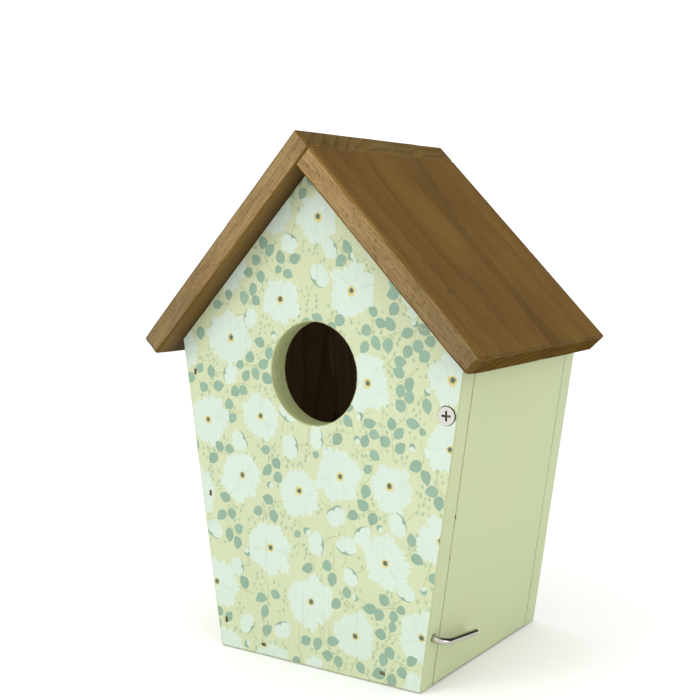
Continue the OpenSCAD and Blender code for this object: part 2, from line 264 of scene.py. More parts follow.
def metal_material(name, base, stain, rough, dull, metallic=1.0, recess=False):
    s = Shader(name)
    p = s.coords()
    cloud = s.noise(p, 1.3, (1, 1, 1), 4, 0.6, 3.0)
    scratch = s.noise(p, 9.0, (0.15, 1, 0.5), 3, 0.7, 8.0)
    colour = s.mix(s.math("MULTIPLY", s.remap(cloud, 0.35, 0.75), dull), base, stain)
    if recess:
        # Dirt and shade in the cross of a pivot screw's head, which lies just inside the front or the back.
        parts = s.vec("ABSOLUTE", s.vec("SUBTRACT", p, (PIVOT_X, MIDDLE, PIVOT_Z)))
        x, y, z = s.node("ShaderNodeSeparateXYZ", parts).outputs
        away = s.math("SQRT", s.math("ADD", s.math("POWER", x, 2.0), s.math("POWER", z, 2.0)))
        head = (BACK - FRONT) / 2
        deep = s.remap(y, head - 0.12, head - 0.6, 0.0, 0.9)
        deep = s.math("MULTIPLY", deep, s.remap(away, 2.0, 2.2, 1.0, 0.0))
        colour = s.mix(deep, colour, linear(70, 66, 48))
    sheen = s.remap(scratch, 0.35, 0.7, rough * 0.7, rough * 1.5)
    sheen = s.math("ADD", sheen, s.math("MULTIPLY", cloud, 0.06))
    return s.set(Base_Color=colour, Metallic=metallic, Roughness=sheen, Normal=s.bump(scratch, 0.12, 0.02))


PAINT, PAINT_DEEP = linear(174, 184, 147), linear(177, 185, 142)
BARE, BARE_DARK = linear(186, 158, 116), linear(140, 106, 66)

M = {
    "print": print_material(),
    "paint": paint_material("green_paint", PAINT, PAINT_DEEP, 1.0),
    "paint_rim": paint_material("green_paint_rim", linear(173, 181, 140), linear(166, 172, 129), 2.0,
                                worn=0.3, streak=0.1, fuzzy=0.05),
    "bore": paint_material("bore_paint", linear(179, 185, 137), linear(166, 171, 120), 4.0,
                           rough=0.7, streak=0.12, fuzzy=0.35, relief=0.7),
    "slot": wood_material("slot_wood", linear(124, 102, 58), linear(70, 54, 26), UPRIGHT, 6.0),
    "bare": wood_material("bare_wood", BARE, BARE_DARK, UPRIGHT, 8.0, late=0.45, fibre=0.5,
                          rough=(0.65, 0.8)),
    "bare_floor": wood_material("bare_wood_floor", BARE, BARE_DARK, (0, 0, 0), 10.0, late=0.45, fibre=0.5,
                                rough=(0.65, 0.8), pith=(40.0, -50.0)),
}


def roof_materials(side, turn, shift, eaves_gain, ridge_gain, end_light, end_dark):
    """The stains of one roof board's faces, with painted light on the edges and painted shade under the
    overhang. Its edges get lighter from the eaves to the ridge.
    """
    fall = (36.0, 130.0, eaves_gain, ridge_gain)
    # Under the overhang the underside darkens towards the corner where the roof meets the front: painted
    # shade.
    corner = (-DEPTH / 2 + 1.0, FRONT - 0.2, 1.05, 0.46)
    looks = (
        ("top", linear(116, 86, 31), linear(90, 64, 19), 0,
         dict(late=0.34, fibre=0.7, pores=0.3, blotch=0.8, pith=(22.0, 104.0), spacing=9.0,
              rough=(0.5, 0.68), relief=0.4, gloss=0.22)),
        ("under", linear(119, 93, 50), linear(93, 70, 34), 4,
         dict(late=0.2, fibre=0.6, pores=0.3, blotch=0.7, gloss=0.1, corner=corner)),
        # The edges' lighter colour is painted light on the same stain as the top; their open grain is the
        # wood's own.
        ("edge", linear(148, 122, 77), linear(93, 70, 34), 1,
         dict(late=0.14, fibre=0.95, pores=0.9, blotch=0.7, pith=(30.0, 104.0), spacing=2.6,
              relief=0.8, fall=fall, grain=1.5)),
        ("end", end_light, end_dark, 2,
         dict(late=0.5, fibre=0.8, pores=0.5, relief=0.7, gloss=0.0)),
        ("rim", linear(119, 93, 44), linear(84, 60, 23), 3,
         dict(fibre=0.7, pores=0.5, fall=fall, gloss=0.08)),
    )
    for part, light, dark, more, options in looks:
        name = part + "_" + side
        M["roof_" + name] = wood_material("stain_" + name, light, dark, turn, shift + more, **options)


roof_materials("r", (0, -PITCH, 0), 12.0, 0.72, 1.32, linear(100, 77, 35), linear(67, 47, 21))
roof_materials("l", (0, PITCH, 0), 14.0, 0.82, 1.04, linear(109, 91, 55), linear(77, 59, 32))

NICKEL = metal_material("nickel", linear(196, 192, 183), linear(130, 122, 100), 0.14, 0.25)
SCREW_NICKEL = metal_material("screw_nickel", linear(201, 199, 194), linear(160, 155, 140), 0.30, 0.15,
                              recess=True)
BRAD_STEEL = metal_material("brad_steel", linear(140, 132, 112), linear(92, 74, 44), 0.45, 0.7,
                            metallic=0.9)


# ---------------------------------------------------------------- boards

# Corners that are worn rounder than the rest: the point, how far the wear reaches, and the radius it adds.
LOW_END_X = SLOPE_L * COS_P + ROOF_T / 2 * SIN_P
LOW_END_Z = APEX_Z - SLOPE_L * SIN_P + ROOF_T / 2 * COS_P
WORN = [
    (Vector((LOW_END_X, -DEPTH / 2, LOW_END_Z)), 6.0, 1.3),
    (Vector((-LOW_END_X, -DEPTH / 2, LOW_END_Z)), 6.0, 0.8),
]


def arris(p, seed, base, wear):
    """Radius of a board's rounded edge at a point: it varies, and grows at knocks and at worn corners."""
    broad = 0.5 + 0.5 * wobble(p, 0.05, seed)
    knock = max(0.0, wobble(p, 0.42, seed + 3) - 0.38)
    worn = sum(extra * math.exp(-((Vector(p) - spot).length / reach) ** 2) for spot, reach, extra in WORN)
    return base * (0.72 + 0.5 * broad) + wear * knock + worn


def outline(section, counts, y, seed, base, wear, steps):
    """The section with its corners rounded, as (centre, outward normal, radius, on a corner)."""
    corners = []
    for i, here in enumerate(section):
        a = (here - section[i - 1]).normalized()
        b = (section[(i + 1) % len(section)] - here).normalized()
        na, nb = Vector((a.y, -a.x)), Vector((b.y, -b.x))
        turn = math.acos(max(-1, min(1, na.dot(nb))))
        r = arris((here.x, y, here.y), seed + i * 7, base, wear)
        centre = here - (na + nb).normalized() * (r / math.cos(turn / 2))
        corners.append((centre, na, turn, r))
    found = []
    for i, (centre, na, turn, r) in enumerate(corners):
        for k in range(steps + 1):
            angle = turn * k / steps
            c, s = math.cos(angle), math.sin(angle)
            n = Vector((na.x * c - na.y * s, na.x * s + na.y * c))
            found.append((centre, n, r, True))
        next_centre, next_na, _, next_r = corners[(i + 1) % len(corners)]
        for k in range(1, counts[i]):
            t = k / counts[i]
            found.append((centre.lerp(next_centre, t), next_na, r + (next_r - r) * t, False))
    return found


def board_mesh(section, y0, y1, seed, base, wear, steps=3, spacing=4.0):
    """A board with slightly worn, rounded edges: its section in X and Z, drawn from y0 to y1."""
    section = [Vector(p) for p in section]
    spans = [(section[(i + 1) % len(section)] - p).length for i, p in enumerate(section)]
    counts = [max(1, round(span / spacing)) for span in spans]
    bm = bmesh.new()
    rings = []

    def ring(y, k, sign):
        verts = []
        for c, n, r, corner in outline(section, counts, y, seed, base, wear, steps):
            if k is None:
                inset, back = 0.0, 0.0
            else:
                e = arris((c.x + n.x * r, y, c.y + n.y * r), seed + 50 + sign, base, wear)
                e = min(e, r - 0.02) if corner else e
                inset, back = e * (1 - math.sin(k)), e * (1 - math.cos(k))
            q = c + n * (r - inset)
            verts.append(bm.verts.new((q.x, y + sign * back, q.y)))
        rings.append(verts)

    quarter = [math.pi / 2 * k / steps for k in range(steps + 1)]
    for k in quarter:
        ring(y0, k, 1)
    inner = max(1, round((y1 - y0 - 5) / spacing))
    for k in range(inner + 1):
        ring(y0 + 2.5 + (y1 - y0 - 5) * k / inner, None, 1)
    for k in reversed(quarter):
        ring(y1, k, -1)
    for a, b in zip(rings, rings[1:]):
        for j in range(len(a)):
            i = (j + 1) % len(a)
            bm.faces.new((a[j], b[j], b[i], a[i]))
    bm.faces.new(rings[0])
    bm.faces.new(list(reversed(rings[-1])))
    bmesh.ops.recalc_face_normals(bm, faces=bm.faces)
    return bm


def place(origin, out, along):
    """A frame on a surface: +Z points out of the wood and +X along the given direction."""
    w, u = Vector(out).normalized(), Vector(along).normalized()
    v = w.cross(u)
    m = Matrix((u, v, w)).transposed().to_4x4()
    m.translation = Vector(origin)
    return m


def loft(bm, rings, index):
    """Adds a closed cutter through rings of points to bm, with one material index."""
    verts = [[bm.verts.new(p) for p in r] for r in rings]
    faces = [bm.faces.new(verts[0]), bm.faces.new(list(reversed(verts[-1])))]
    for a, b in zip(verts, verts[1:]):
        for j in range(len(a)):
            i = (j + 1) % len(a)
            faces.append(bm.faces.new((a[i], b[i], b[j], a[j])))
    bmesh.ops.recalc_face_normals(bm, faces=faces)
    for f in faces:
        f.material_index = index


def turned(bm, m, profile, index, n, ragged, seed):
    """A round cutter: profile is (height, radius) pairs from the outside in, ragged near the surface."""
    rings = []
    for h, r in profile:
        near = math.exp(-(h / 0.6) ** 2)
        pts = []
        for j in range(n):
            a = math.tau * j / n
            c, s = math.cos(a), math.sin(a)
            d = ragged * near * wobble((c * r, s * r, h * 0.3), 1.1, seed)
            pts.append(m @ Vector(((r + d) * c, (r + d) * s, h)))
        rings.append(pts)
    loft(bm, rings, index)


def nail_slot(bm, m, index, seed):
    """The slot over a sunk brad: about the head's own size, its edge torn a little."""
    rings = []
    for h, grow in ((1.0, 0.16), (0.0, 0.14), (-0.25, 0.05), (-BRAD_DEPTH, 0.04)):
        pts = []
        for j in range(28):
            a = math.tau * (j + 0.5) / 28
            c, s = math.cos(a), math.sin(a)
            x = math.copysign(abs(c) ** 0.35, c) * (BRAD_W / 2 + grow)
            y = math.copysign(abs(s) ** 0.35, s) * (BRAD_T / 2 + grow)
            d = 1 + (0.12 * wobble((c * 3, s * 3, 0), 1.0, seed) if h > -0.2 else 0)
            pts.append(m @ Vector((x * max(d, 0.98), y * max(d, 0.98), h)))
        rings.append(pts)
    loft(bm, rings, index)


def chip(bm, centre, size, index, seed):
    """A small torn dent: a lumpy ball that bites into an edge or a face."""
    found = bmesh.ops.create_icosphere(bm, subdivisions=2, radius=1.0)
    faces = set()
    for v in found["verts"]:
        d = v.co.normalized()
        k = 1 + 0.35 * wobble(d, 1.6, seed)
        v.co = Vector(centre) + Vector((d.x * size[0], d.y * size[1], d.z * size[2])) * k
        faces.update(v.link_faces)
    for f in faces:
        f.material_index = index


def to_mesh(bm, name, slots):
    mesh = bpy.data.meshes.new(name)
    bm.to_mesh(mesh)
    bm.free()
    mesh.transform(Matrix.Scale(0.001, 4))
    for m in slots:
        mesh.materials.append(M[m])
    return mesh


def cut(name, bm, cutters, slots):
    """The board with its cutters taken away, as a new bmesh in millimetres."""
    body = bpy.data.objects.new(name, to_mesh(bm, name, slots))
    bpy.context.scene.collection.objects.link(body)
    tool = bpy.data.objects.new(name + "_tool", to_mesh(cutters, name + "_tool", slots))
    bpy.context.scene.collection.objects.link(tool)
    mod = body.modifiers.new("cut", "BOOLEAN")
    mod.operation, mod.solver, mod.object, mod.material_mode = "DIFFERENCE", "EXACT", tool, "INDEX"
    mod.use_self = True
    bpy.context.view_layer.update()
    made = bpy.data.meshes.new_from_object(body.evaluated_get(bpy.context.evaluated_depsgraph_get()))
    body.modifiers.clear()
    body.data = made
    bpy.data.objects.remove(tool)
    out = bmesh.new()
    out.from_mesh(body.data)
    bmesh.ops.transform(out, matrix=Matrix.Scale(1000, 4), verts=out.verts)
    return body, out


def skin(bm, faces, rim):
    """Gives flat faces the index of their direction and rounded edges the rim's, and marks the creases."""
    flat = set()
    for f in bm.faces:
        if f.material_index == 0:
            hit = next((i for d, i in faces if f.normal.dot(d) > 0.99995), None)
            if hit is None:
                f.material_index = rim
            else:
                f.material_index = hit
                flat.add(f)
        f.smooth = True
    for e in bm.edges:
        if len(e.link_faces) == 2:
            a, b = e.link_faces
            sharp = a.normal.angle(b.normal, 0) > math.radians(40)
            e.smooth = (a in flat) == (b in flat) and not sharp


def finish_piece(body, bm, node, group):
    mesh = body.data
    bmesh.ops.transform(bm, matrix=Matrix.Scale(0.001, 4), verts=bm.verts)
    bm.to_mesh(mesh)
    bm.free()
    mesh.update()
    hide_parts(node)
    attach(body, group)


def normals_of(section):
    """Outward direction of each side of a section."""
    pts = [Vector(p) for p in section]
    found = []
    for i, p in enumerate(pts):
        d = (pts[(i + 1) % len(pts)] - p).normalized()
        found.append(Vector((d.y, 0, -d.x)))
    return found


FORE, AFT = Vector((0, -1, 0)), Vector((0, 1, 0))

# Where the brads are: their heights on the fixed side, their places along the floor and down the roof.
floor_end = BASE_W / 2 + SLOPE * FLOOR_T / 2 - LEVEL_T
SIDE_BRADS = [10.8, 60.7, EAVES_H - 12.7]
FLOOR_BRADS = [13.2 - floor_end, floor_end - 7.7]
ROOF_BRADS = [27.2, EAVES_L - 21.5]
PANELS = [FRONT + WALL / 2, BACK - WALL / 2]


def panel_slots(cutters, y, out, index, seed):
    for k, z in enumerate(SIDE_BRADS):
        nail_slot(cutters, place((LEVEL_T / 2 - face_x(z), y, z), out, (0, 0, 1)), index, seed + k)
    for k, x in enumerate(FLOOR_BRADS):
        nail_slot(cutters, place((x, y, FLOOR_T / 2), out, (1, 0, 0)), index, seed + 5 + k)


GABLE = [(-BASE_W / 2, 0), (BASE_W / 2, 0), (EAVES_W / 2, EAVES_H), (0, APEX_Z), (-EAVES_W / 2, EAVES_H)]


# ---------------------------------------------------------------- printed pattern

INK = {
    "ground": linear(186, 194, 158),
    "petal": linear(190, 204, 190),
    "petal_shade": linear(186, 200, 185),
    "leaf": linear(131, 158, 137),
    "speck": linear(159, 177, 145),
    "stem": linear(171, 175, 135),
    "ring": linear(197, 188, 129),
    "iris": linear(156, 152, 105),
    "heart": linear(84, 97, 81),
}


def heading(a):
    """The direction at an angle, and the one square to it."""
    d = Vector((math.cos(a), math.sin(a)))
    return d, Vector((-d.y, d.x))


class Pattern:
    """A scattered print of flowers, half-open buds, leaves and specks, laid out by chance from one seed."""

    def __init__(self, seed):
        self.rng = random.Random(seed)
        self.shapes = []
        self.taken = []

    def add(self, level, points, ink, vary=0.02):
        k = 1 + self.rng.uniform(-vary, vary)
        colour = tuple(c * k for c in INK[ink][:3]) + (1.0,)
        self.shapes.append((level, len(self.shapes), [Vector(p) for p in points], colour))

    def free(self, p, r):
        return all((p - q).length > r + s for q, s in self.taken)

    def spot(self, margin):
        """A random point on the panel, or a little past its edges."""
        while True:
            p = Vector((self.rng.uniform(-EAVES_W / 2 - margin, EAVES_W / 2 + margin),
                        self.rng.uniform(-margin, APEX_Z + margin)))
            wide = min(face_x(p.y), (APEX_Z - p.y) / TAN_P) + margin
            if abs(p.x) < wide:
                return p

    def flower(self, c, size):
        rng = self.rng
        n = rng.choice((13, 14, 15, 16))
        start = rng.uniform(0, 6.3)
        petals = []
        for i in range(n):
            a = start + math.tau * (i + rng.uniform(-0.2, 0.2)) / n
            half = math.pi / n * rng.uniform(1.0, 1.6)
            petals.append((a, half, size * rng.uniform(0.83, 1.09), rng.uniform(0, 99)))
        pts = []
        for j in range(300):
            t = math.tau * j / 300
            r = size * 0.77
            for a, half, reach, seed in petals:
                off = (t - a + math.pi) % (math.tau) - math.pi
                d = abs(off) / half
                if d < 1:
                    notch = 0.14 * noise.noise(Vector((off / half * 3.6, seed, 0.3)))
                    r = max(r, reach * (1 + notch - 0.10 * d ** 2 - 0.45 * max(0, d - 0.75)))
            r *= 1 + 0.045 * noise.noise(Vector((math.cos(t) * 11, math.sin(t) * 11, start)))
            pts.append((c.x + r * math.cos(t), c.y + r * math.sin(t)))
        self.add(3, pts, "petal", 0.012)
        hub = c + Vector((rng.uniform(-0.8, 0.8), rng.uniform(-0.5, 0.7)))
        for i in range(rng.choice((2, 3))):
            self.petal_shade(c, rng.uniform(0, 6.3), size)
        self.blob(8, hub, rng.uniform(1.5, 1.9), "ring", 0.45, 48)
        eye = hub + Vector((rng.uniform(-0.25, 0.25), rng.uniform(-0.1, 0.35)))
        self.blob(9, eye, rng.uniform(1.05, 1.2), "iris", 0.4, 30)
        self.blob(10, eye, rng.uniform(0.76, 0.9), "heart", 0.35, 24)

    def petal_shade(self, c, a, size):
        """One petal's slightly duller inner fold."""
        d, s = heading(a)
        r0, r1, w = size * 0.30, size * 0.80, size * self.rng.uniform(0.05, 0.10)
        pts = []
        for j in range(14):
            t = math.tau * j / 14
            pts.append(c + d * ((r0 + r1) / 2 + (r1 - r0) / 2 * math.cos(t)) + s * w * math.sin(t))
        self.add(4, pts, "petal_shade", 0.01)

    def blob(self, level, c, size, ink, ragged, n):
        seed = self.rng.uniform(0, 99)
        pts = []
        for j in range(n):
            t = math.tau * j / n
            r = size * (1 + ragged * noise.noise(Vector((math.cos(t) * 2.2, math.sin(t) * 2.2, seed))) +
                        ragged * 0.4 * noise.noise(Vector((math.cos(t) * 7, math.sin(t) * 7, seed + 5))))
            pts.append((c.x + r * math.cos(t), c.y + r * math.sin(t)))
        self.add(level, pts, ink)

    def leaf(self, base, a, length, width, level=5):
        d, s = heading(a)
        lop = self.rng.uniform(-0.14, 0.14)
        bow = self.rng.uniform(-0.10, 0.10)
        top, low = [], []
        for j in range(1, 12):
            t = j / 12
            point = 1 - 0.4 * max(0, (t - 0.64) / 0.36) ** 1.4
            w = width / 2 * 2.46 * t ** 0.60 * (1 - t) ** 0.72 * point
            mid = base + d * length * t + s * (bow * length * math.sin(math.pi * t))
            top.append(mid + s * w * (1 + lop))
            low.append(mid - s * w * (1 - lop))
        self.add(level, [base] + low + [base + d * length] + list(reversed(top)), "leaf", 0.045)

    def stem(self, pts, width, level=2):
        left, right = [], []
        for i, p in enumerate(pts):
            d = (pts[min(i + 1, len(pts) - 1)] - pts[max(i - 1, 0)]).normalized()
            s = Vector((-d.y, d.x)) * width / 2 * (0.75 + 0.4 * math.sin(math.pi * i / (len(pts) - 1)))
            left.append(p + s)
            right.append(p - s)
        self.add(level, right + list(reversed(left)), "stem", 0.03)

    def curve(self, a, b, bow, n=10):
        d = b - a
        s = Vector((-d.y, d.x))
        return [a + d * (i / n) + s * (bow * math.sin(math.pi * i / n)) for i in range(n + 1)]

    def bud(self, c, a, size):
        """A half-open flower seen from the side: a scalloped fan, held by a crescent of green."""
        rng = self.rng
        lobes, seed = rng.choice((4, 5, 6)), rng.uniform(0, 99)
        squash = rng.uniform(1.08, 1.28)
        d, s = heading(a)

        def edge(t, k=1.0):
            """A point of the outline, t being the angle from the bud's own direction."""
            up = math.cos(t)
            r = size * (0.56 + 0.50 * ((1 + up) / 2) ** 0.7)
            scallop = 0.15 * abs(math.sin(lobes * t / 1.4)) * max(0.0, up + 0.4)
            r *= 0.96 + scallop + 0.08 * noise.noise(Vector((t * 2.5, seed, 0)))
            return c + d * (r * k * up) + s * (r * k * squash * math.sin(t))

        self.add(6, [edge(math.tau * j / 72) for j in range(72)], "petal", 0.012)
        outer, inner = [], []
        reach, lean = rng.uniform(1.15, 1.45), rng.uniform(-0.25, 0.25)
        for j in range(17):
            u = -1 + 2 * j / 16
            t = math.pi + lean + reach * u
            outer.append(edge(t, 1.05 + 0.05 * math.sin(5 * u + seed)))
            inner.append(edge(t, 0.98 - 0.36 * (1 - abs(u)) - 0.26 * math.exp(-(u / 0.22) ** 2)))
        self.add(7, outer + list(reversed(inner)), "leaf", 0.03)
        foot = c - d * size * 0.5
        end = foot - d * size * rng.uniform(1.1, 1.8) + s * size * rng.uniform(-0.8, 0.8)
        self.stem(self.curve(foot, end, rng.uniform(-0.2, 0.2)), 0.36)

    def small_bud(self, c, a, size):
        d, s = heading(a)
        self.blob(6, c + d * size * 0.45, size * 0.85, "petal", 0.15, 18)
        calyx = ((1.1, 0.75), (0.25, 0.12), (-0.3, 0.15), (-1.0, 0.45), (-0.75, -0.5), (0.0, -0.85),
                 (0.75, -0.35))
        self.add(7, [c + s * size * across + d * size * along for across, along in calyx], "leaf", 0.04)
        end = c - d * size * 3.2 + s * size * self.rng.uniform(-1.2, 1.2)
        self.stem(self.curve(c - d * size * 0.7, end, self.rng.uniform(-0.25, 0.25)), 0.3)

    def sprig(self, c, a):
        """A curved stem with leaves set along it in turn."""
        rng = self.rng
        d, _ = heading(a)
        line = self.curve(c - d * 6.0, c + d * 5.0, rng.uniform(-0.22, 0.22), 14)
        grown = 0
        side = rng.choice((-1, 1))
        for i in (14, 10, 7, 4):
            p = line[i]
            along = (line[min(i + 1, 14)] - line[i - 1]).normalized()
            turn = 0 if i == 14 else side * rng.uniform(0.75, 1.15)
            side = -side
            b = math.atan2(along.y, along.x) + turn
            length, width = rng.uniform(4.6, 6.0), rng.uniform(3.6, 4.5)
            u, _ = heading(b)
            root = p + u * (0.2 if i == 14 else 1.1)
            mid = root + u * length / 2
            if self.free(mid, 1.75):
                self.leaf(root, b, length, width, rng.choice((5, 5, 2)))
                if i != 14:
                    self.stem([p, root + (root - p).normalized() * 0.4], 0.3)
                self.taken.append((mid, 2.1))
                grown += 1
        if grown:
            self.stem(line, 0.34, 1)

    def specks(self, c, a):
        rng = self.rng
        d, s = heading(a)
        for i in range(rng.choice((2, 3, 4))):
            for k in (-1, 1):
                p = c + d * (i * 2.1 - 3.0) + s * (k * rng.uniform(0.6, 1.6)) + d * rng.uniform(-0.8, 0.8)
                if self.free(p, 0.75):
                    size = rng.uniform(0.40, 0.66)
                    b = a + rng.uniform(-0.4, 0.4)
                    u, v = heading(b)
                    turns = [math.tau * j / 9 for j in range(9)]
                    pts = [p + u * size * 1.55 * math.cos(t) + v * size * math.sin(t) for t in turns]
                    self.add(0, pts, "speck", 0.06)
                    self.taken.append((p, 0.75))

    def lay_out(self):
        rng = self.rng
        for _ in range(2600):
            p = self.spot(7)
            size = rng.uniform(8.8, 10.5)
            if all((p - q).length > rng.uniform(19.5, 28.0) for q, s in self.taken):
                self.flower(p, size)
                self.taken.append((p, size * 0.90))
        for _ in range(46):
            p, size = self.spot(3), rng.uniform(3.5, 4.3)
            if self.free(p, size * 0.85):
                self.bud(p, rng.uniform(0, 6.3), size)
                self.taken.append((p, size * 1.2))
        for _ in range(520):
            p = self.spot(4)
            if self.free(p, 2.4):
                self.sprig(p, rng.uniform(0, 6.3))
        for _ in range(110):
            p, size = self.spot(1), rng.uniform(1.3, 1.7)
            if self.free(p, size * 1.1):
                self.small_bud(p, rng.uniform(0, 6.3), size)
                self.taken.append((p, size * 1.5))
        for _ in range(50):
            p, size = self.spot(2), rng.uniform(3.2, 4.6)
            if self.free(p, 1.5):
                b = rng.uniform(0, 6.3)
                self.leaf(p - heading(b)[0] * size / 2, b, size, size * rng.uniform(0.72, 0.85))
                self.taken.append((p, 1.9))
        for _ in range(420):
            self.specks(self.spot(2), rng.gauss(1.57, 0.5))
        return sorted(self.shapes)


def lay_print(bm, index):
    """Cuts the pattern into the front face: each printed shape gets its ink, and the mesh stays closed."""
    face = [f for f in bm.faces if f.material_index == index and f.normal.dot(FORE) > 0.999]
    bmesh.ops.delete(bm, geom=face, context="FACES_ONLY")
    wire = [e for e in bm.edges if not e.link_faces]
    bmesh.ops.delete(bm, geom=wire, context="EDGES")
    rim = [e for e in bm.edges if len(e.link_faces) == 1]
    verts = sorted({v for e in rim for v in e.verts}, key=lambda v: v.index)
    number = {v: i for i, v in enumerate(verts)}
    nearby = {v: [] for v in verts}
    for e in rim:
        a, b = e.verts
        nearby[a].append(b)
        nearby[b].append(a)
    loops, seen = [], set()
    for v in verts:
        if v in seen:
            continue
        loop, here, last = [], v, None
        while here not in seen:
            seen.add(here)
            loop.append(here)
            onward = [n for n in nearby[here] if n is not last and n not in seen]
            here, last = (onward[0] if onward else v), here
        loops.append(loop)

    def area(pts):
        return sum(a.x * b.y - b.x * a.y for a, b in zip(pts, pts[1:] + pts[:1])) / 2

    flats = [[Vector((v.co.x, v.co.z)) for v in loop] for loop in loops]
    order = sorted(range(len(loops)), key=lambda i: -abs(area(flats[i])))
    points = [Vector((v.co.x, v.co.z)) for v in verts]
    faces = []
    for i in order:
        ids = [number[v] for v in loops[i]]
        faces.append(ids if area(flats[i]) > 0 else list(reversed(ids)))
    holes = len(faces)
    shapes = Pattern(5).lay_out()
    inks = []
    lo = Vector((min(p.x for p in points) - 0.5, min(p.y for p in points) - 0.5))
    hi = Vector((max(p.x for p in points) + 0.5, max(p.y for p in points) + 0.5))
    for _, _, pts, colour in shapes:
        if all(p.x < lo.x or p.x > hi.x or p.y < lo.y or p.y > hi.y for p in pts):
            continue
        start = len(points)
        points.extend(pts)
        ids = list(range(start, start + len(pts)))
        faces.append(ids if area(pts) > 0 else list(reversed(ids)))
        inks.append(colour)
    out_v, _, out_f, from_v, _, from_f = delaunay_2d_cdt(points, [], faces, 1, 1e-5)
    made = {}
    for i, origin in enumerate(from_v):
        for o in origin:
            if o < len(verts):
                made[i] = verts[o]
    chosen = []
    for f, origin in zip(out_f, from_f):
        if 0 in origin and not any(0 < o < holes for o in origin):
            top = max((o for o in origin if o >= holes), default=None)
            chosen.append((f, INK["ground"] if top is None else inks[top - holes]))
    # New points on the face's edge split the edges of the faces that meet it there.
    count = {}
    for f, _ in chosen:
        for a, b in zip(f, f[1:] + f[:1]):
            key = (min(a, b), max(a, b))
            count[key] = count.get(key, 0) + 1
    link = {}
    for (a, b), c in count.items():
        if c == 1:
            link.setdefault(a, []).append(b)
            link.setdefault(b, []).append(a)
    for a in [i for i in link if i in made]:
        for b in link[a]:
            if b in made:
                continue
            chain, last, here = [], a, b
            while here not in made:
                chain.append(here)
                onward = [n for n in link[here] if n != last]
                last, here = here, onward[0]
            va, vb = made[a], made[here]
            for i in chain:
                edge = bm.edges.get((va, vb))
                span = (vb.co - va.co).length
                p = Vector((out_v[i].x, va.co.y, out_v[i].y))
                share = (p - va.co).length / span
                _, new = bmesh.utils.edge_split(edge, va, max(1e-6, min(1 - 1e-6, share)))
                new.co = p
                made[i] = new
                va = new
    layer = bm.loops.layers.float_color.new("ink")
    y = verts[0].co.y
    for f, colour in chosen:
        vs = []
        for i in f:
            if i not in made:
                made[i] = bm.verts.new((out_v[i].x, y, out_v[i].y))
            vs.append(made[i])
        if len(set(vs)) < 3:
            continue
        try:
            new = bm.faces.new(vs)
        except ValueError:
            continue
        new.material_index, new.smooth = index, True
        for l in new.loops:
            l[layer] = colour
    bm.normal_update()
    flipped = [f for f in bm.faces if f.material_index == index and f.normal.dot(FORE) < 0]
    bmesh.ops.reverse_faces(bm, faces=flipped)
    for e in bm.edges:
        if len(e.link_faces) == 2 and len({f.material_index == index for f in e.link_faces}) == 2:
            e.smooth = False


# ---------------------------------------------------------------- the pieces

def make_front():
    slots = ["print", "paint", "paint_rim", "bare", "bore", "slot"]
    cutters = bmesh.new()
    middle = place((0, FRONT, ENTRANCE_Z), FORE, (1, 0, 0))
    flare = ((2, 0.45), (0.0, 0.42), (-0.15, 0.12), (-0.5, 0), (-3, 0), (-6, 0), (-WALL + 0.4, 0),
             (-WALL, 0.35), (-WALL - 2, 0.4))
    turned(cutters, middle, [(h, ENTRANCE_R + extra) for h, extra in flare], 4, 160, 0.22, 3)
    seat = place((PIVOT_X + 0.08, FRONT, PIVOT_Z + 0.08), FORE, (1, 0, 0))
    cone = [(2, 3.52), (0.0, 3.5), (-0.35, 3.38), (-1.75, 1.92), (-WALL - 2, 1.92)]
    turned(cutters, seat, cone, 5, 48, 0.12, 5)
    panel_slots(cutters, FRONT, FORE, 5, 11)
    outward = (math.cos(LEAN), 0, -math.sin(LEAN))
    latch = place((face_x(LATCH_Z), FRONT + WALL / 2, LATCH_Z), outward, (0, 1, 0))
    mouth = ((1.5, 0.36), (0.0, 0.3), (-0.3, 0.14), (-0.8, 0.06), (-15.2, 0.06))
    turned(cutters, latch, [(h, WIRE_R + extra) for h, extra in mouth], 4, 36, 0.25, 9)
    chip(cutters, (face_x(48), FRONT_IN + 0.1, 48), (0.32, 0.34, 1.0), 5, 21)
    chip(cutters, (face_x(88), FRONT_IN + 0.1, 88), (0.22, 0.2, 0.8), 5, 22)
    body, bm = cut("front_board", board_mesh(GABLE, FRONT, FRONT_IN, 1, 0.42, 0.9), cutters, slots)
    sides = normals_of(GABLE)
    painted, roofed = (0, 1, 4), (2, 3)
    skin(bm, [(FORE, 0), (AFT, 3)] + [(sides[i], 1) for i in painted] + [(sides[i], 3) for i in roofed], 2)
    # The top edges, where the panel meets the roof, take the dark wood of the slots: a painted contact
    # shadow under the roof.
    for f in bm.faces:
        c = f.calc_center_median()
        from_roof = (APEX_Z - c.z) * COS_P - abs(c.x) * SIN_P
        if f.material_index == 2 and from_roof < 0.8 and c.z > EAVES_H - 1:
            f.material_index = 5
    lay_print(bm, 0)
    finish_piece(body, bm, "front_panel", "house")


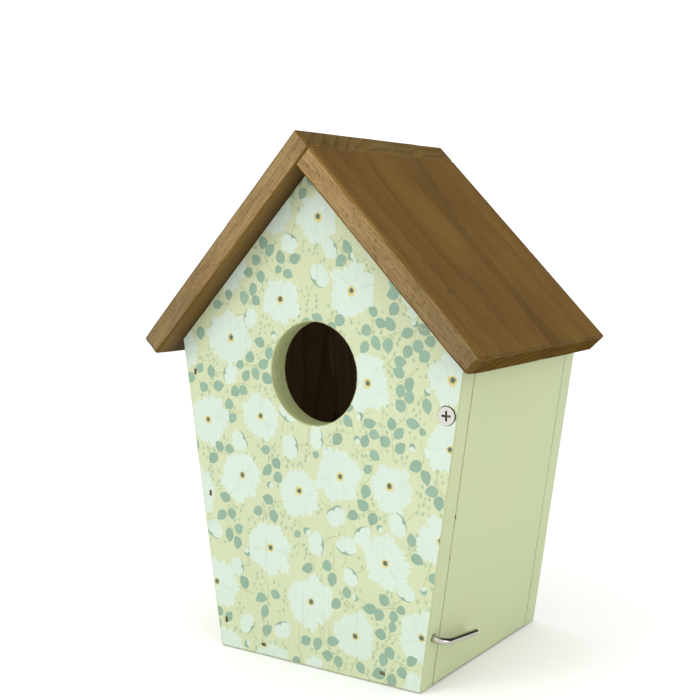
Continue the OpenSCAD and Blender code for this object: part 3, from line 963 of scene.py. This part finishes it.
def make_back():
    slots = ["paint", "paint_rim", "bare", "bore", "slot"]
    cutters = bmesh.new()
    hanging = place((0, BACK, ENTRANCE_Z), AFT, (-1, 0, 0))
    flare = ((1, 0.3), (0.0, 0.25), (-0.3, 0.02), (-WALL - 2, 0.02))
    turned(cutters, hanging, [(h, HANGING_R + extra) for h, extra in flare], 3, 48, 0.1, 7)
    seat = place((PIVOT_X, BACK, PIVOT_Z), AFT, (-1, 0, 0))
    cone = [(1, 3.45), (0.0, 3.42), (-0.36, 3.34), (-1.95, 1.88), (-WALL - 2, 1.88)]
    turned(cutters, seat, cone, 4, 48, 0.1, 8)
    panel_slots(cutters, BACK, AFT, 4, 31)
    body, bm = cut("back_board", board_mesh(GABLE, BACK_IN, BACK, 2, 0.42, 0.9), cutters, slots)
    sides = normals_of(GABLE)
    skin(bm, [(FORE, 2)] + [(sides[i], 2) for i in (2, 3)], 1)
    # The outer face, its edges and the bottom keep index 0, which is the paint.
    painted = [AFT] + [sides[i] for i in (0, 1, 4)]
    for f in bm.faces:
        if f.material_index == 1 and any(f.normal.dot(d) > 0.9999 for d in painted):
            f.material_index = 0
    finish_piece(body, bm, "back_panel", "house")


def make_left():
    inner_top = (APEX_Z - (BASE_W / 2 - LEVEL_T) * TAN_P) / (1 + SLOPE * TAN_P)
    section = [(-face_x(0), 0), (LEVEL_T - face_x(0), 0), (LEVEL_T - face_x(inner_top), inner_top),
               (-EAVES_W / 2, EAVES_H)]
    cutters = bmesh.new()
    for k, y in enumerate((MIDDLE_IN - 13, MIDDLE_IN + 13)):
        nail_slot(cutters, place((-face_x(FLOOR_T / 2), y, FLOOR_T / 2), (-1, 0, 0), (0, 1, 0)), 3, 41 + k)
    board = board_mesh(section, FRONT_IN, BACK_IN, 3, 0.35, 0.6)
    body, bm = cut("left_board", board, cutters, ["paint", "paint_rim", "bare", "slot"])
    sides = normals_of(section)
    skin(bm, [(sides[1], 2), (sides[2], 2), (FORE, 2), (AFT, 2), (sides[0], 0), (sides[3], 0)], 1)
    finish_piece(body, bm, "left_side", "house")


def door_section():
    distance = (EAVES_W / 2 - PIVOT_X) * SIN_P + (EAVES_H - PIVOT_Z) * COS_P
    up = (distance - TOP_GAP - WALL / 2 * math.sin(PITCH - LEAN)) / math.cos(PITCH - LEAN)
    down = (PIVOT_Z - FLOOR_GAP - WALL / 2 * math.sin(LEAN)) / math.cos(LEAN)
    corners = [(-WALL / 2, -down), (WALL / 2, -down), (WALL / 2, up), (-WALL / 2, up)]
    c, s = math.cos(LEAN), math.sin(LEAN)
    return [(PIVOT_X + x * c + z * s, PIVOT_Z - x * s + z * c) for x, z in corners]


def make_door():
    section = door_section()
    cutters = bmesh.new()
    chip(cutters, (face_x(62.8) - 0.05, FRONT_IN + EDGE_GAP, 62.8), (0.32, 0.3, 1.1), 3, 24)
    chip(cutters, (face_x(47.8) - 0.05, FRONT_IN + EDGE_GAP, 47.8), (0.24, 0.24, 0.7), 3, 25)
    board = board_mesh(section, FRONT_IN + EDGE_GAP, BACK_IN - EDGE_GAP, 4, 0.38, 0.8)
    body, bm = cut("door_board", board, cutters, ["paint", "paint_rim", "bare", "slot"])
    sides = normals_of(section)
    skin(bm, [(sides[3], 2), (sides[1], 0), (sides[0], 0), (sides[2], 0), (FORE, 0), (AFT, 0)], 1)
    finish_piece(body, bm, "side_door", "side_door")


def make_floor():
    right = BASE_W / 2 - LEVEL_T - FLOOR_GAP / math.cos(LEAN)
    section = [(LEVEL_T - face_x(0), 0), (right, 0), (right + SLOPE * FLOOR_T, FLOOR_T),
               (LEVEL_T - face_x(FLOOR_T), FLOOR_T)]
    cutters = bmesh.new()
    flare = ((1, 0.3), (0.0, 0.25), (-0.3, 0), (-FLOOR_T + 0.3, 0), (-FLOOR_T, 0.3), (-FLOOR_T - 1, 0.3))
    for i in (-1, 1):
        for j in (-1, 1):
            hole = place((i * DRAIN_X, MIDDLE_IN + j * DRAIN_Y, FLOOR_T), (0, 0, 1), (1, 0, 0))
            turned(cutters, hole, [(h, DRAIN_R + extra) for h, extra in flare], 1, 40, 0.15, 50 + i + 3 * j)
    board = board_mesh(section, FRONT_IN, BACK_IN, 5, 0.35, 0.6)
    body, bm = cut("floor_slab", board, cutters, ["bare_floor", "slot"])
    skin(bm, [(d, 0) for d in normals_of(section) + [FORE, AFT]], 0)
    finish_piece(body, bm, "floor_board", "house")


def roof_section(side):
    low_x, low_z = SLOPE_L * COS_P, APEX_Z - SLOPE_L * SIN_P
    joint = (JOINT_L * COS_P, APEX_Z + JOINT_L * SIN_P)
    if side < 0:
        return [(-low_x, low_z), joint, (0, RIDGE_Z), (-low_x - ROOF_T * SIN_P, low_z + ROOF_T * COS_P)]
    return [(0, APEX_Z), (low_x, low_z), (low_x + ROOF_T * SIN_P, low_z + ROOF_T * COS_P), joint]


def on_roof(side, s, y):
    """A point on a roof board's upper face, at a distance down the slope from the apex line."""
    return Vector((side * (s * COS_P + ROOF_T * SIN_P), y, APEX_Z - s * SIN_P + ROOF_T * COS_P))


def make_roof(side):
    letter = "l" if side < 0 else "r"
    section = roof_section(side)
    cutters = bmesh.new()
    # The rear brads of the right board are filled and stained over.
    for k, y in enumerate(PANELS if side < 0 else PANELS[:1]):
        for j, s in enumerate(ROOF_BRADS):
            m = place(on_roof(side, s, y), (side * SIN_P, 0, COS_P), (COS_P, 0, -side * SIN_P))
            nail_slot(cutters, m, 4, 60 + side * 7 + 2 * k + j)
    if side < 0:
        for k, y in enumerate((-DEPTH / 2 + 14, 0, DEPTH / 2 - 14)):
            at = (-JOINT_L / 2 * COS_P, y, APEX_Z + 1.5 * JOINT_L * SIN_P)
            nail_slot(cutters, place(at, (-COS_P, 0, SIN_P), (0, 1, 0)), 4, 80 + k)
    else:
        chip(cutters, on_roof(1, 52.0, BACK + 0.3), (1.4, 1.3, 1.2), 2, 90)
    chip(cutters, on_roof(side, 62.0, -DEPTH / 2 - 0.5), (0.8, 0.9, 0.9), 3, 93 + side)
    stains = ["roof_" + part + "_" + letter for part in ("top", "edge", "end", "rim", "under")]
    slots = stains[:4] + ["slot"] + stains[4:]
    board = board_mesh(section, -DEPTH / 2, DEPTH / 2, 6 + side, 0.7, 1.0, 4, 3.5)
    body, bm = cut("roof_board_left" if side < 0 else "roof_board_right", board, cutters, slots)
    sides = normals_of(section)
    skin(bm, [(FORE, 1), (AFT, 1), (sides[1], 2), (sides[3], 2), (sides[0], 5), (sides[2], 0)], 3)
    finish_piece(body, bm, "roof_left" if side < 0 else "roof_right", "house")


make_front()
make_back()
make_left()
make_door()
make_floor()
make_roof(-1)
make_roof(1)

# ---------------------------------------------------------------- metal parts of the frame
for name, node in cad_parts.items():
    if name.startswith("brads_"):
        node.data.materials.clear()
        node.data.materials.append(BRAD_STEEL)
    elif name.startswith("pivot_screw") or name == "latch_hook":
        node.data.materials.clear()
        node.data.materials.append(NICKEL if name == "latch_hook" else SCREW_NICKEL)
        if name.startswith("pivot_screw"):
            soft = node.modifiers.new("soft_edges", "BEVEL")
            soft.width, soft.segments, soft.limit_method = 0.00009, 2, "ANGLE"
            soft.angle_limit = math.radians(35)

# ---------------------------------------------------------------- stage, light and camera
floor_mesh = bpy.data.meshes.new("floor")
bm = bmesh.new()
bmesh.ops.create_grid(bm, x_segments=1, y_segments=1, size=14.0)
bm.to_mesh(floor_mesh)
bm.free()
floor = bpy.data.objects.new("floor", floor_mesh)
bpy.context.scene.collection.objects.link(floor)
# A hair below the boards, so that the two faces don't fight for the same place when seen from underneath.
floor.location.z = -0.0002
s = Shader("floor")
cloud = s.noise(s.coords(), 0.003, (1, 1, 1), 3, 0.5, 2.0)
pale = s.mix(cloud, (0.90, 0.90, 0.90, 1), (0.92, 0.92, 0.92, 1))
floor_mesh.materials.append(s.set(Base_Color=pale, Roughness=0.9, Specular_IOR_Level=0.1))

world = bpy.data.worlds.new("studio")
bpy.context.scene.world = world
world.use_nodes = True
tree = world.node_tree
tree.nodes.clear()
out = tree.nodes.new("ShaderNodeOutputWorld")
sky = tree.nodes.new("ShaderNodeBackground")
sky.inputs["Color"].default_value = (1, 1, 1, 1)
tree.links.new(sky.outputs[0], out.inputs[0])
where = tree.nodes.new("ShaderNodeTexCoord")


def step(socket, a, b, c, d):
    n = tree.nodes.new("ShaderNodeMapRange")
    n.interpolation_type = "SMOOTHSTEP"
    tree.links.new(socket, n.inputs[0])
    for i, v in enumerate((a, b, c, d)):
        n.inputs[i + 1].default_value = v
    return n.outputs[0]


# An even white tent with a dark gap high up behind the object, which shows in reflections only.
toward = tree.nodes.new("ShaderNodeVectorMath")
toward.operation = "DOT_PRODUCT"
tree.links.new(where.outputs["Generated"], toward.inputs[0])
toward.inputs[1].default_value = Vector((0.34, 0.48, 0.81)).normalized()
gap = tree.nodes.new("ShaderNodeMath")
gap.operation = "MULTIPLY"
tree.links.new(step(toward.outputs["Value"], 0.50, 0.56, 0.0, 1.0), gap.inputs[0])
tree.links.new(tree.nodes.new("ShaderNodeLightPath").outputs["Is Glossy Ray"], gap.inputs[1])
tree.links.new(step(gap.outputs[0], 0.0, 1.0, 1.20, 0.03), sky.inputs["Strength"])


def soft_light(name, at, aim, size, watts):
    data = bpy.data.lights.new(name, "AREA")
    data.size, data.energy = size, watts
    lamp = bpy.data.objects.new(name, data)
    bpy.context.scene.collection.objects.link(lamp)
    lamp.location = at
    lamp.rotation_mode = "QUATERNION"
    lamp.rotation_quaternion = (Vector(aim) - Vector(at)).to_track_quat("-Z", "Y")


soft_light("key", (-0.9, -1.7, 1.2), (0, 0, 0.1), 0.9, 12)
soft_light("fill", (1.6, -0.5, 0.12), (0.05, 0, 0.0), 0.9, 8)

cam_data = bpy.data.cameras.new("camera")
cam_data.sensor_width, cam_data.lens = 36.0, 59.594
cam_data.clip_start, cam_data.clip_end = 0.01, 60
camera = bpy.data.objects.new("camera", cam_data)
bpy.context.scene.collection.objects.link(camera)
CAMERA_AT, YAW, TILT, ROLL = (0.24559, -0.38381, 0.16092), 0.5908879, -0.0978195, -0.0040947
facing = Matrix.Rotation(YAW, 4, "Z") @ Matrix.Rotation(math.pi / 2 + TILT, 4, "X")
camera.matrix_world = Matrix.Translation(CAMERA_AT) @ facing @ Matrix.Rotation(ROLL, 4, "Z")
bpy.context.scene.camera = camera
bpy.context.scene.view_settings.view_transform = "Standard"
